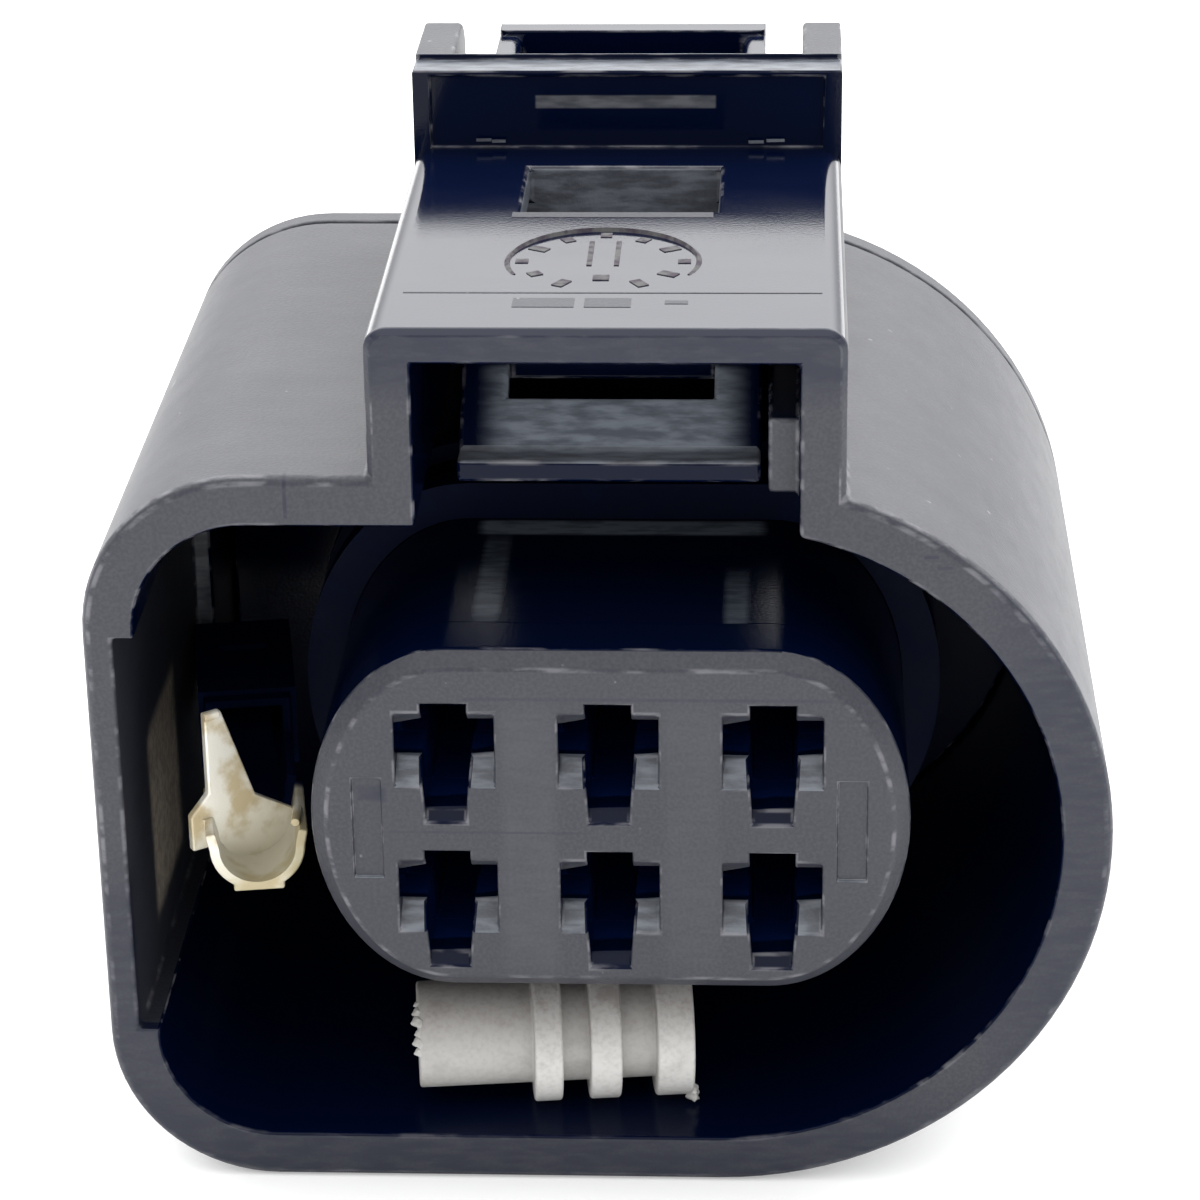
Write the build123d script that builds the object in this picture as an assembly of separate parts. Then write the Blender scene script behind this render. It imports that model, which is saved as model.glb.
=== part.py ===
from build123d import *
import os

# Sealed six-way automotive connector: an outer collar with a latch guard, a terminal block
# with a front retainer, a sprung release lever, seals, contacts with over-springs, one loose
# contact and one loose cavity plug that lie in the mating gap.
# Millimetres. X runs to the right seen from the mating side, Y runs into the connector,
# Z is up. The origin is the middle of the six cavities on the retainer's front face.

# Cavity pattern
PITCH = 5.0                  # between cavities, both ways
COLUMNS = 3
ROWS = 2
SLOT_WIDTH = 1.4             # upright slot of the cross-shaped mouth, above the arms
SLOT_WAIST = 1.6             # and under them, narrowing to its foot
SLOT_FOOT = 1.25
SLOT_LOW = -1.85
SLOT_HIGH = 1.8
TAB_SLOT_WIDTH = 3.05        # level slot, for the mating tab
TAB_SLOT_HEIGHT = 1.39
TAB_SLOT_Z = 0.48            # above the middle of the cavity
LEAD_IN = 0.75               # bevels under and over the level slot
LEAD_IN_TOP = 0.35

# Oval of the retainer and the terminal block
OVAL_FLAT = 9.8              # length of the flat top
OVAL_END = 4.32              # reach of each elliptical end
OVAL_HALF_HEIGHT = 5.78
OVAL_Z = 0.2                 # the oval sits a little above the cavities' middle
FACE_BEVEL = 0.5

# Front retainer
PLATE = 2.4                  # thickness of its face
RETAINER_GAP = 0.05
RETAINER_TRAVEL = 2.0
FINGER_OFFSET = 2.43         # from the middle of an outer cavity to the middle of its finger
FINGER_WIDTH = 0.9
FINGER_HEIGHT = 3.4
FINGER_LENGTH = 7.0
FINGER_MARK = 0.12           # depth of the finger's outline in the face
BLADE_WIDTH = 12.6
BLADE_THICK = 0.7
BLADE_LENGTH = 9.6
BLADE_Z = 0.1
GUIDE_CLEARANCE = 0.06

# Terminal block
NOSE_WALL = 4.2              # wall between the retainer and the contact chambers
CHAMBER_WIDTH = 3.3
CHAMBER_FLOOR = -1.5         # from the cavity's middle
CHAMBER_HEIGHT = 3.2
SHOULDER_Y = 15.6            # where the block widens behind the interface seal
SHOULDER_GROW = 1.2
SPIGOT_LENGTH = 3.6          # part of the block that fills the collar's rear
SPIGOT_GAP = 0.05
FLANGE_THICK = 1.0
TOWER_LENGTH = 9.6
SEAL_BORE_RADIUS = 2.15
LANCE_BITE = 0.15            # how far a lance reaches into its over-spring's window
LANCE_WIDTH = 1.2
LANCE_LENGTH = 1.3

# Collar
RIM_Y = 1.2                  # the rim lies behind the retainer's face
COLLAR_LENGTH = 24.4
COLLAR_WALL = 1.6
COLLAR_HEIGHT = 24.4
COLLAR_LEFT = 16.1           # from the origin to the left wall's outside
CORNER_RADIUS = 5.2
ARC_X = 3.3                  # centre of the round right side
ARC_Z = -1.0
RECESS_DEPTH = 0.65          # relief inside the left wall
RECESS_LOW = -7.8
RECESS_HIGH = 5.9
RECESS_LENGTH = 15.8
RIM_CHAMFER = 0.2
SEAM_WIDTH = 0.25            # groove between the collar and the block's flange
SEAM_DEPTH = 0.2

# Latch guard on top of the collar
GUARD_HALF_WIDTH = 7.15
GUARD_WALL = 1.4
GUARD_RISE = 4.7             # above the collar's top
GUARD_ROOF = 1.1
GUARD_EDGE = 0.7             # rounding of its long top edges
MOUTH_LENGTH = 14.8          # how far the guard is open to the mating gap
STOP_WALL_FRONT = 17.8       # behind the rim
STOP_WALL_THICK = 1.4
STOP_WALL_RISE = 2.7         # above the guard's top
STOP_PANEL_INSET = 0.2
STOP_END_WIDTH = 0.55
ROOF_REAR = 2.1              # thicker roof under the stop wall
WINDOW_WIDTH = 6.3
WINDOW_FRONT = 11.15         # behind the rim
WINDOW_LENGTH = 4.7
EAR_THICK = 1.3
EAR_RISE = 0.2               # above the stop wall
EAR_ROUND = 1.3
KEY_WIDTH = 0.95             # rib beside the lever, inside the guard
KEY_DROP = 0.8               # below and above the collar's top
KEY_RISE = 1.6
KEY_LENGTH = 5.0
KEY_SETBACK = 0.9

# Release lever
LEVER_HALF_WIDTH = 4.6
PIVOT_Y = 11.2
PIVOT_RISE = 1.7             # above the collar's top
TRUNNION_RADIUS = 0.7
TRUNNION_DEPTH = 0.8         # length inside the guard's side wall
RUNNING_CLEARANCE = 0.05
HOOK_FRONT = 2.75
HOOK_DEPTH = 0.9
HOOK_DROP = 0.75             # from the collar's top to the hook's underside
HOOK_THICK = 0.7
RAMP_RUN = 2.4
ARM_CLEARANCE = 0.3          # under the guard's rear roof
ARM_THICK = 1.2
ARM_RISE_RUN = 1.4           # the arm's underside rises to the pad over this length
SLOT_LENGTH = 1.7            # slot through the ramp's upper end
SLOT_ACROSS = 6.3
SLOT_PAST_RAMP = 0.6
PAD_GAP = 0.45               # between the stop wall and the press pad
PAD_LENGTH = 4.65
PAD_RISE = 2.2               # from the collar's top to the pad's underside
PAD_THICK = 1.6
PAD_DROP = 0.3               # the pad's top is this far under the stop wall's
PAD_RAIL = 0.8
PAD_BAR = 1.2
PAD_BAR_RISE = 0.2

# Interface seal
SEAL_FRONT = 10.6
SEAL_LENGTH = 4.8
SEAL_BASE = 0.7
SEAL_RIB = 0.55
SEAL_RIB_WIDTH = 1.1
SEAL_RIBS = 2
SEAL_GAP = 0.02

# Contacts, sheet metal
CONTACT_LENGTH = 15.5
CONTACT_SHEET = 0.3
BOX_WIDTH = 2.86
BOX_HEIGHT = 2.4
BOX_LENGTH = 6.5
NECK_LENGTH = 1.5
NECK_WALL = 1.1
WIRE_CRIMP_RADIUS = 1.1
WIRE_CRIMP_LENGTH = 3.2
CRIMP_STEP = 0.8
SLEEVE_RADIUS = 1.4          # crimp that grips the seal or the insulation
OPEN_WIRE_RADIUS = 1.3       # the two barrels before they are crimped
OPEN_RADIUS = 1.5
OPEN_WING = 0.55             # height of an open barrel's wings
WING_LEAN = 12.0             # degrees
SPLAYED_SETBACK = 2.1        # the loose contact's long wing, bent across its barrel
SPLAYED_TOP = 5.6
SPLAYED_TIP = 0.6
SPLAYED_SHOULDER = 2.4
SPLAYED_EDGE = 1.65
SPLAYED_LOBE_OUT = 2.3
SPLAYED_LOBE_LOW = 1.0
SPLAYED_LOBE_HIGH = 2.2
SPLAYED_TURN = 26.0          # degrees
TONGUE_WIDTH = 1.6           # bent spring tongue inside the box, and the strip behind it
TONGUE_RISE = 0.8
TONGUE_SETBACK = 0.3
CONTACT_GAP = 0.1            # from the nose wall to the contact

# Over-springs, sheet steel
SPRING_SHEET = 0.18
SPRING_GAP = 0.02
SPRING_LENGTH = 5.6
SPRING_SETBACK = 0.5
SPRING_WINDOW_LENGTH = 1.7
SPRING_WINDOW_WIDTH = 1.6

# Wire seals and the loose cavity plug, silicone
WIRE_SEAL_LENGTH = 6.5
WIRE_SEAL_HOLE = 0.95
WIRE_SEAL_NECK = 1.6         # radius of its slim front end
WIRE_SEAL_NECK_LENGTH = 2.2
WIRE_SEAL_SETBACK = 1.2      # inside the tower's rear face
WIRE_SEAL_GAP = 0.03
PLUG_PLAIN_RADIUS = 1.72
PLUG_RING_RADIUS = 2.35
PLUG_PLAIN_LENGTHS = [3.7, 0.9, 1.15]  # the plain end and the grooves between the rings
PLUG_RINGS = [0.9, 1.0, 1.2]           # widths, from the plain end
PLUG_X = -2.1
PLUG_Y = 4.1
PLUG_YAW = 6.7               # degrees, right end deeper

# Where the loose contact lies
LOOSE_X = -11.1
LOOSE_Y = 1.6
LOOSE_Z = -1.45
LOOSE_YAW = 9.1              # degrees, its box end leans on the left wall

# Making
BITE = 0.1                   # overlap of joined solids
CUT_PAST = 1.0               # how far a cut runs past a face

# Values that follow from the ones above
RIM_BACK = RIM_Y + COLLAR_LENGTH
FLANGE_BACK = RIM_BACK + FLANGE_THICK
TOWER_BACK = FLANGE_BACK + TOWER_LENGTH
NOSE_FRONT = PLATE + RETAINER_GAP
CHAMBER_FRONT = NOSE_FRONT + NOSE_WALL
COLLAR_INNER_TOP = ARC_Z + COLLAR_HEIGHT / 2 - COLLAR_WALL
COLLAR_OUTER_TOP = ARC_Z + COLLAR_HEIGHT / 2
COLLAR_INNER_FLOOR = ARC_Z - COLLAR_HEIGHT / 2 + COLLAR_WALL
GUARD_TOP = COLLAR_OUTER_TOP + GUARD_RISE
STOP_WALL_TOP = GUARD_TOP + STOP_WALL_RISE
EAR_TOP = STOP_WALL_TOP + EAR_RISE
PIVOT_Z = COLLAR_OUTER_TOP + PIVOT_RISE
HOOK_LOW = COLLAR_OUTER_TOP - HOOK_DROP
ARM_HIGH = GUARD_TOP - ROOF_REAR - ARM_CLEARANCE
ARM_LOW = ARM_HIGH - ARM_THICK
PAD_LOW = COLLAR_OUTER_TOP + PAD_RISE
PAD_TOP = STOP_WALL_TOP - PAD_DROP
GUARD_INNER = GUARD_HALF_WIDTH - GUARD_WALL
SPRING_HEIGHT = BOX_HEIGHT + 2 * (SPRING_GAP + SPRING_SHEET)
WALL_Y = RIM_Y + STOP_WALL_FRONT
WALL_BACK = WALL_Y + STOP_WALL_THICK
FINGER_X = (COLUMNS - 1) * PITCH / 2 + FINGER_OFFSET


def along_y(sketch, front, back):
    """A sketch drawn in X and Z, extruded from front to back along Y."""
    return extrude(Plane.XZ.offset(-front) * sketch, amount=front - back)


def across_x(sketch, low, high):
    """A sketch drawn in Y and Z, extruded from low to high along X."""
    return extrude(Plane.YZ.offset(low) * sketch, amount=high - low)


def block(x_low, x_high, y_low, y_high, z_low, z_high):
    """A box given by its limits."""
    centre = Pos((x_low + x_high) / 2, (y_low + y_high) / 2, (z_low + z_high) / 2)
    return centre * Box(x_high - x_low, y_high - y_low, z_high - z_low)


def polygon(*points):
    """A face with straight edges through the points."""
    return make_face(Polyline(*points, close=True))


def mirrored(*points):
    """The points of a right half, followed back by those of its mirror image."""
    return [*points, *[(-x, z) for x, z in reversed(points)]]


def cavities():
    """X and Z of each cavity, left to right, top row first."""
    return [((column - (COLUMNS - 1) / 2) * PITCH, ((ROWS - 1) / 2 - row) * PITCH)
            for row in range(ROWS) for column in range(COLUMNS)]


def oval(grow=0.0):
    """The block's outline: a flat top and bottom with elliptical ends."""
    height = OVAL_HALF_HEIGHT + grow
    ends = [Pos(side * OVAL_FLAT / 2, OVAL_Z) * Ellipse(OVAL_END + grow, height) for side in (-1, 1)]
    return Pos(0, OVAL_Z) * Rectangle(OVAL_FLAT, 2 * height) + ends


def collar_outline(inset=0.0):
    """The collar's outline: a rounded square on the left and a half circle on the right."""
    half = COLLAR_HEIGHT / 2 - inset
    corner = CORNER_RADIUS - inset
    left = inset - COLLAR_LEFT
    right = ARC_X + corner
    square = Pos((left + right) / 2, ARC_Z) * RectangleRounded(right - left, 2 * half, corner)
    return square + Pos(ARC_X, ARC_Z) * Circle(half)


def cross_mouth():
    """The cross-shaped mouth of one cavity, about the cavity's middle."""
    upper = polygon(*mirrored((SLOT_WIDTH / 2, TAB_SLOT_Z), (SLOT_WIDTH / 2, SLOT_HIGH)))
    lower = polygon(*mirrored((SLOT_FOOT / 2, SLOT_LOW), (SLOT_WAIST / 2, TAB_SLOT_Z)))
    return upper + lower + Pos(0, TAB_SLOT_Z) * Rectangle(TAB_SLOT_WIDTH, TAB_SLOT_HEIGHT)


def lead_ins():
    """Wedges that open the cross towards the face, under and over its arms and under its foot."""
    low = TAB_SLOT_Z - TAB_SLOT_HEIGHT / 2
    high = TAB_SLOT_Z + TAB_SLOT_HEIGHT / 2
    under = polygon((0, low), (0, low - LEAD_IN), (LEAD_IN, low))
    over = polygon((0, high), (0, high + LEAD_IN_TOP), (LEAD_IN_TOP, high))
    foot = polygon((0, SLOT_LOW), (0, SLOT_LOW - LEAD_IN_TOP), (LEAD_IN_TOP, SLOT_LOW))
    half = TAB_SLOT_WIDTH / 2
    return (across_x(under, -half, half) + across_x(over, -half, half)
            + across_x(foot, -SLOT_FOOT / 2, SLOT_FOOT / 2))


def front_retainer():
    """Oval plate with the cavity mouths, two side fingers and the blade that backs the lances."""
    plate = along_y(oval(), 0, PLATE)
    plate = chamfer(plate.faces().sort_by(Axis.Y)[0].edges(), FACE_BEVEL)
    mouth = along_y(cross_mouth(), -CUT_PAST, PLATE + CUT_PAST) + lead_ins()
    plate -= [Pos(x, 0, z) * mouth for x, z in cavities()]
    finger = Pos(0, BLADE_Z) * Rectangle(FINGER_WIDTH, FINGER_HEIGHT)
    for x in (-FINGER_X, FINGER_X):
        plate -= along_y(Pos(x) * finger, -CUT_PAST, FINGER_MARK)
        plate += along_y(Pos(x) * finger, PLATE - BITE, PLATE + FINGER_LENGTH)
    blade = Pos(0, BLADE_Z) * Rectangle(BLADE_WIDTH, BLADE_THICK)
    return plate + along_y(blade, PLATE - BITE, PLATE + BLADE_LENGTH)


def lance(in_top_row):
    """The ramp on the web between the rows that catches the window of one over-spring."""
    middle = CHAMBER_FRONT + CONTACT_GAP + SPRING_SETBACK + SPRING_LENGTH / 2
    front, back = middle - LANCE_LENGTH / 2, middle + LANCE_LENGTH / 2
    if in_top_row:
        root, tip = CHAMBER_FLOOR, CHAMBER_FLOOR + LANCE_BITE
    else:
        root = CHAMBER_FLOOR + CHAMBER_HEIGHT
        tip = CHAMBER_FLOOR + SPRING_HEIGHT - LANCE_BITE
    ramp = polygon((front, root), (front, tip), (back, root))
    return across_x(ramp, -LANCE_WIDTH / 2, LANCE_WIDTH / 2)


def terminal_block():
    """Nose, shoulder, spigot, flange and seal tower in one moulding, with six cavities."""
    body = along_y(oval(), NOSE_FRONT, RIM_BACK)
    body += along_y(oval(SHOULDER_GROW), SHOULDER_Y, RIM_BACK)
    body += along_y(collar_outline(COLLAR_WALL + SPIGOT_GAP), RIM_BACK - SPIGOT_LENGTH, RIM_BACK)
    body += along_y(collar_outline(), RIM_BACK, FLANGE_BACK)
    body += along_y(oval(), FLANGE_BACK, TOWER_BACK)
    cavity = along_y(cross_mouth(), NOSE_FRONT - CUT_PAST, CHAMBER_FRONT + CUT_PAST)
    cavity += block(-CHAMBER_WIDTH / 2, CHAMBER_WIDTH / 2, CHAMBER_FRONT, RIM_BACK,
                    CHAMBER_FLOOR, CHAMBER_FLOOR + CHAMBER_HEIGHT)
    cavity += along_y(Circle(SEAL_BORE_RADIUS), RIM_BACK - BITE, TOWER_BACK + CUT_PAST)
    body -= [Pos(x, 0, z) * cavity for x, z in cavities()]
    body += [Pos(x, 0, z) * lance(z > 0) for x, z in cavities()]
    gap = GUIDE_CLEARANCE
    finger = Pos(0, BLADE_Z) * Rectangle(FINGER_WIDTH + 2 * gap, FINGER_HEIGHT + 2 * gap)
    blade = Pos(0, BLADE_Z) * Rectangle(BLADE_WIDTH + 2 * gap, BLADE_THICK + 2 * gap)
    body -= [along_y(Pos(x) * finger, PLATE, PLATE + FINGER_LENGTH + gap) for x in (-FINGER_X, FINGER_X)]
    return body - along_y(blade, PLATE, PLATE + BLADE_LENGTH + gap)


def collar():
    """Outer collar with the latch guard, stop wall, ears and the relief inside its left wall."""
    body = along_y(collar_outline(), RIM_Y, RIM_BACK - SEAM_WIDTH)
    body += along_y(collar_outline(SEAM_DEPTH), RIM_BACK - SEAM_WIDTH, RIM_BACK)
    guard = block(-GUARD_HALF_WIDTH, GUARD_HALF_WIDTH, RIM_Y, WALL_BACK, ARC_Z, GUARD_TOP)
    guard = fillet(guard.edges().filter_by(Axis.Y).group_by(Axis.Z)[-1], GUARD_EDGE)
    stop = block(-GUARD_HALF_WIDTH, GUARD_HALF_WIDTH, WALL_Y, WALL_BACK, ARC_Z, STOP_WALL_TOP)
    panel_half = GUARD_HALF_WIDTH - STOP_END_WIDTH
    stop -= block(-panel_half, panel_half, WALL_Y - CUT_PAST, WALL_Y + STOP_PANEL_INSET,
                  GUARD_TOP, STOP_WALL_TOP - STOP_PANEL_INSET)
    ears = block(-GUARD_HALF_WIDTH, GUARD_HALF_WIDTH, WALL_BACK - BITE, RIM_BACK - SEAM_WIDTH,
                 (COLLAR_INNER_TOP + COLLAR_OUTER_TOP) / 2, EAR_TOP)
    ears = fillet(ears.edges().filter_by(Axis.X).group_by(Axis.Z)[-1].sort_by(Axis.Y)[-1], EAR_ROUND)
    ear_inside = GUARD_HALF_WIDTH - EAR_THICK
    ears -= block(-ear_inside, ear_inside, WALL_BACK, RIM_BACK, COLLAR_OUTER_TOP, EAR_TOP)
    body = body + guard + stop + ears
    body = chamfer(body.faces().sort_by(Axis.Y)[0].edges(), RIM_CHAMFER)
    body -= along_y(collar_outline(COLLAR_WALL), RIM_Y - CUT_PAST, RIM_BACK + CUT_PAST)
    body -= block(-GUARD_INNER, GUARD_INNER, RIM_Y - CUT_PAST, RIM_Y + MOUTH_LENGTH, ARC_Z,
                  GUARD_TOP - GUARD_ROOF)
    body -= block(-GUARD_INNER, GUARD_INNER, RIM_Y + MOUTH_LENGTH, WALL_BACK,
                  COLLAR_OUTER_TOP, GUARD_TOP - ROOF_REAR)
    window_y = RIM_Y + WINDOW_FRONT
    body -= block(-GUARD_INNER, GUARD_INNER, window_y, window_y + WINDOW_LENGTH, COLLAR_OUTER_TOP,
                  GUARD_TOP - GUARD_ROOF)
    body -= block(-WINDOW_WIDTH / 2, WINDOW_WIDTH / 2, window_y, window_y + WINDOW_LENGTH,
                  COLLAR_OUTER_TOP, GUARD_TOP)
    recess_x = COLLAR_WALL - COLLAR_LEFT
    body -= block(recess_x - RECESS_DEPTH, recess_x, RIM_Y - CUT_PAST, RIM_Y + RECESS_LENGTH,
                  RECESS_LOW, RECESS_HIGH)
    key_y = RIM_Y + KEY_SETBACK
    body += block(GUARD_INNER - KEY_WIDTH, GUARD_INNER + BITE, key_y, key_y + KEY_LENGTH,
                  COLLAR_OUTER_TOP - KEY_DROP, COLLAR_OUTER_TOP + KEY_RISE)
    reach = GUARD_INNER + TRUNNION_DEPTH + RUNNING_CLEARANCE
    sockets = Cylinder(TRUNNION_RADIUS + RUNNING_CLEARANCE, 2 * reach)
    return body - Pos(0, PIVOT_Y, PIVOT_Z) * Rot(0, 90, 0) * sockets


def release_lever():
    """Rocking lever: hook bar, slotted ramp, arm under the guard's roof, trunnions and press pad."""
    hook_back = HOOK_FRONT + HOOK_DEPTH
    ramp_top = hook_back + RAMP_RUN
    pad_front = WALL_BACK + PAD_GAP
    pad_back = pad_front + PAD_LENGTH
    profile = polygon(
        (HOOK_FRONT, HOOK_LOW), (hook_back, HOOK_LOW), (ramp_top, ARM_LOW),
        (WALL_BACK - ARM_RISE_RUN, ARM_LOW), (pad_front, PAD_LOW), (pad_back, PAD_LOW),
        (pad_back, PAD_TOP), (pad_front, PAD_TOP), (pad_front, ARM_HIGH),
        (ramp_top, ARM_HIGH), (hook_back, HOOK_LOW + HOOK_THICK), (HOOK_FRONT, HOOK_LOW + HOOK_THICK))
    body = across_x(profile, -LEVER_HALF_WIDTH, LEVER_HALF_WIDTH)
    rail = LEVER_HALF_WIDTH - PAD_RAIL
    pad_floor = PAD_LOW + PAD_THICK
    body -= block(-rail, rail, pad_front, pad_back - PAD_BAR, pad_floor, PAD_TOP)
    body += block(-LEVER_HALF_WIDTH, LEVER_HALF_WIDTH, pad_back - PAD_BAR, pad_back,
                  pad_floor, PAD_TOP + PAD_BAR_RISE)
    slot_back = ramp_top + SLOT_PAST_RAMP
    body -= block(-SLOT_ACROSS / 2, SLOT_ACROSS / 2, slot_back - SLOT_LENGTH, slot_back,
                  HOOK_LOW, ARM_HIGH)
    reach = GUARD_INNER + TRUNNION_DEPTH
    trunnion = Pos(0, PIVOT_Y, PIVOT_Z) * Rot(0, 90, 0) * Cylinder(TRUNNION_RADIUS, 2 * reach)
    return body + trunnion


def interface_seal():
    """Ribbed ring around the block's nose, against its shoulder."""
    hole = oval(SEAL_GAP)
    body = along_y(oval(SEAL_BASE) - hole, SEAL_FRONT, SEAL_FRONT + SEAL_LENGTH)
    step = (SEAL_LENGTH - SEAL_RIB_WIDTH) / (SEAL_RIBS - 1)
    for rib in range(SEAL_RIBS):
        front = SEAL_FRONT + rib * step
        body += along_y(oval(SEAL_BASE + SEAL_RIB) - hole, front, front + SEAL_RIB_WIDTH)
    return body


def contact(loose=False):
    """One stamped contact, mouth at Y = 0, sheet bottom at Z = 0 and closed or open barrel."""
    half = BOX_WIDTH / 2
    sheet = CONTACT_SHEET
    box = along_y(Pos(0, BOX_HEIGHT / 2) * (Rectangle(BOX_WIDTH, BOX_HEIGHT)
                                            - Rectangle(BOX_WIDTH - 2 * sheet, BOX_HEIGHT - 2 * sheet)),
                  0, BOX_LENGTH)
    foot = TONGUE_SETBACK + 2 * sheet
    tongue = polygon((TONGUE_SETBACK, sheet), (BOX_LENGTH / 2, TONGUE_RISE + sheet),
                     (BOX_LENGTH - TONGUE_SETBACK, sheet), (BOX_LENGTH - foot, sheet),
                     (BOX_LENGTH / 2, TONGUE_RISE), (foot, sheet))
    box += across_x(tongue, -TONGUE_WIDTH / 2, TONGUE_WIDTH / 2)
    crimp_front = BOX_LENGTH + NECK_LENGTH
    neck = block(-half, half, BOX_LENGTH - BITE, crimp_front, 0, NECK_WALL)
    neck -= block(-half + sheet, half - sheet, BOX_LENGTH - BITE, crimp_front, sheet, NECK_WALL)
    crimp_back = crimp_front + WIRE_CRIMP_LENGTH
    sleeve_front = crimp_back + CRIMP_STEP
    if loose:
        wire, sleeve = open_barrel(OPEN_WIRE_RADIUS), open_barrel(OPEN_RADIUS)
    else:
        wire, sleeve = crimped_barrel(WIRE_CRIMP_RADIUS), crimped_barrel(SLEEVE_RADIUS)
    strip = block(-TONGUE_WIDTH / 2, TONGUE_WIDTH / 2, BOX_LENGTH, CONTACT_LENGTH, 0, sheet)
    body = box + neck + strip
    body += along_y(wire, crimp_front, crimp_back)
    body += along_y(sleeve, sleeve_front, CONTACT_LENGTH)
    return body + splayed_wing() if loose else body


def crimped_barrel(radius):
    """Section of a closed crimp, pressed to eight sides by the tool, its lowest side at Z = 0."""
    tool = [Rot(0, 0, 22.5) * RegularPolygon(size, 8, major_radius=False)
            for size in (radius, radius - CONTACT_SHEET)]
    return Pos(0, radius) * (tool[0] - tool[1])


def open_barrel(radius):
    """Section of an uncrimped barrel: a half ring with two leaning wings."""
    sheet = CONTACT_SHEET
    ring = Circle(radius) - Circle(radius - sheet)
    ring -= Pos(0, radius) * Rectangle(3 * radius, 2 * radius)
    wing = Pos(0, (OPEN_WING - BITE) / 2) * Rectangle(sheet, OPEN_WING + BITE)
    wings = [Pos(side * (radius - sheet / 2), 0) * Rot(0, 0, -side * WING_LEAN) * wing
             for side in (-1, 1)]
    return Pos(0, radius) * (ring + wings)


def splayed_wing():
    """The long wing of the open barrel, folded across it as a plate with a lobe and a tall tip."""
    radius = OPEN_RADIUS - CONTACT_SHEET / 2
    closing = Pos(0, OPEN_RADIUS) * Circle(radius)
    closing -= Pos(0, 2 * OPEN_RADIUS) * Rectangle(2 * OPEN_RADIUS, 2 * OPEN_RADIUS)
    neck = SPLAYED_LOBE_HIGH + SPLAYED_LOBE_OUT - SPLAYED_EDGE
    plate = closing + polygon(
        (-radius, OPEN_RADIUS), (0, SPLAYED_LOBE_LOW), (SPLAYED_LOBE_OUT, SPLAYED_LOBE_LOW),
        (SPLAYED_LOBE_OUT, SPLAYED_LOBE_HIGH), (SPLAYED_EDGE, neck), (SPLAYED_EDGE, SPLAYED_TOP),
        (SPLAYED_EDGE - SPLAYED_TIP, SPLAYED_TOP), (0, SPLAYED_SHOULDER))
    plate = along_y(plate, -CONTACT_SHEET / 2, CONTACT_SHEET / 2)
    return Pos(0, CONTACT_LENGTH - SPLAYED_SETBACK) * Rot(0, 0, SPLAYED_TURN) * plate


def over_spring():
    """Steel sleeve around the contact's box, with a lance window in its top and its floor."""
    inner_w = BOX_WIDTH + 2 * SPRING_GAP
    inner_h = BOX_HEIGHT + 2 * SPRING_GAP
    outer = Rectangle(inner_w + 2 * SPRING_SHEET, inner_h + 2 * SPRING_SHEET)
    sleeve = along_y(Pos(0, BOX_HEIGHT / 2) * (outer - Rectangle(inner_w, inner_h)),
                     SPRING_SETBACK, SPRING_SETBACK + SPRING_LENGTH)
    middle = SPRING_SETBACK + SPRING_LENGTH / 2
    return sleeve - block(-SPRING_WINDOW_WIDTH / 2, SPRING_WINDOW_WIDTH / 2,
                          middle - SPRING_WINDOW_LENGTH / 2, middle + SPRING_WINDOW_LENGTH / 2,
                          -SPRING_HEIGHT, 2 * SPRING_HEIGHT)


def seated(piece, x, z):
    """A contact or over-spring in its cavity, resting on the chamber's floor."""
    rest = CHAMBER_FLOOR + SPRING_SHEET + SPRING_GAP
    return Pos(x, CHAMBER_FRONT + CONTACT_GAP, z + rest) * piece


def laid_loose(piece):
    """The same piece where it lies in the mating gap, its barrel towards the viewer."""
    turned = Pos(0, -CONTACT_LENGTH, -OPEN_RADIUS) * piece
    return Pos(LOOSE_X, LOOSE_Y, LOOSE_Z) * Rot(0, 0, LOOSE_YAW) * Rot(0, 0, 180) * turned


def wire_seal():
    """Single-wire seal, a neck and a sealing band, its axis along Y and its front at Y = 0."""
    band = SEAL_BORE_RADIUS - WIRE_SEAL_GAP
    outline = [(WIRE_SEAL_HOLE, 0), (WIRE_SEAL_NECK, 0), (WIRE_SEAL_NECK, WIRE_SEAL_NECK_LENGTH),
               (band, WIRE_SEAL_NECK_LENGTH), (band, WIRE_SEAL_LENGTH), (WIRE_SEAL_HOLE, WIRE_SEAL_LENGTH)]
    return revolve(polygon(*outline), Axis.Y)


def cavity_plug():
    """Solid ringed plug lying on the collar's floor."""
    outline, length = [(0, 0)], 0
    for plain, ring in zip(PLUG_PLAIN_LENGTHS, PLUG_RINGS):
        outline += [(PLUG_PLAIN_RADIUS, length), (PLUG_PLAIN_RADIUS, length + plain)]
        length += plain + ring
        outline += [(PLUG_RING_RADIUS, length - ring), (PLUG_RING_RADIUS, length)]
    outline.append((0, length))
    plug = Pos(0, -length / 2, 0) * revolve(polygon(*outline), Axis.Y)
    rest = COLLAR_INNER_FLOOR + PLUG_RING_RADIUS
    return Pos(PLUG_X, PLUG_Y, rest) * Rot(0, 0, PLUG_YAW - 90) * plug


def build():
    """Every node of the connector, by name."""
    nodes = {
        "collar": collar(),
        "terminal_block": terminal_block(),
        "front_retainer": front_retainer(),
        "release_lever": release_lever(),
        "interface_seal": interface_seal(),
        "cavity_plug": cavity_plug(),
        "loose_contact": laid_loose(contact(loose=True)),
        "loose_contact_spring": laid_loose(over_spring()),
    }
    seal_y = TOWER_BACK - WIRE_SEAL_SETBACK - WIRE_SEAL_LENGTH
    crimped, spring, seal = contact(), over_spring(), wire_seal()
    for number, (x, z) in enumerate(cavities(), start=1):
        nodes[f"contact_{number}"] = seated(crimped, x, z)
        nodes[f"contact_spring_{number}"] = seated(spring, x, z)
        nodes[f"wire_seal_{number}"] = Pos(x, seal_y, z) * seal
    return nodes


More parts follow.
